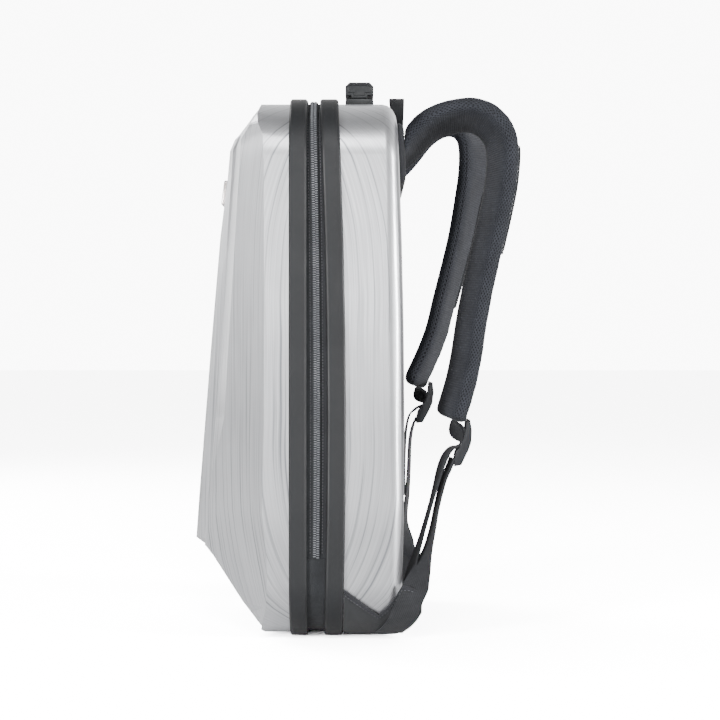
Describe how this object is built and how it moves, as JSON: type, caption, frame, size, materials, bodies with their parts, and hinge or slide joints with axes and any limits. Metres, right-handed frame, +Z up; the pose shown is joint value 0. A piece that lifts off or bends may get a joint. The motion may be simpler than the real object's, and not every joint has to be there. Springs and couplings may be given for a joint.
{
  "type": "hard shell backpack",
  "caption": "Hard shell backpack with a faceted silver front, bumper rings beside a zip, a top handle, mesh shoulder pads, buckled webbing and cloth corner wings.",
  "frame": {"origin": "middle of the front bumper's flat foot, on the floor", "axes": "+Z up, +Y from the faceted front towards the shoulder straps, +X towards the wearer's right"},
  "size_m": [0.3134, 0.2929, 0.4884],
  "materials": {
    "shell": "silver film with fine vertical brush lines, satin gloss",
    "bumper": "moulded, dark grey, softly rounded",
    "tape": "plain weave zip tape",
    "coil": "nylon coil",
    "plate": "polished, bare",
    "slider": "dark metal, satin",
    "grip": "moulded, dark grey",
    "mesh": "padded spacer mesh",
    "webbing": "ribbed webbing",
    "lock": "moulded acetal, light gloss",
    "wing": "coated cloth with a bound edge"
  },
  "bodies": {
    "root": {"front_shell": "shell", "front_bumper": "bumper", "front_badge": "plate", "rear_shell": "shell", "rear_bumper": "bumper", "back_panel": "mesh", "strap_yoke": "webbing", "hang_loop": "webbing", "handle_mount_right": "grip", "handle_mount_left": "grip", "handle_grip": "grip", "zip_tape_front": "tape", "zip_tape_rear": "tape", "zip_coil": "coil", "hinge_strip": "tape", "zip_slider_upper": "slider", "zip_slider_lower": "slider", "strap_pad_right": "mesh", "strap_strip_right": "webbing", "web_link_right": "webbing", "ladder_lock_right": "lock", "web_load_right": "webbing", "web_tail_right": "webbing", "strap_wing_right": "wing", "strap_pad_left": "mesh", "strap_strip_left": "webbing", "web_link_left": "webbing", "ladder_lock_left": "lock", "web_load_left": "webbing", "web_tail_left": "webbing", "strap_wing_left": "wing"}
  },
  "joints": []
}
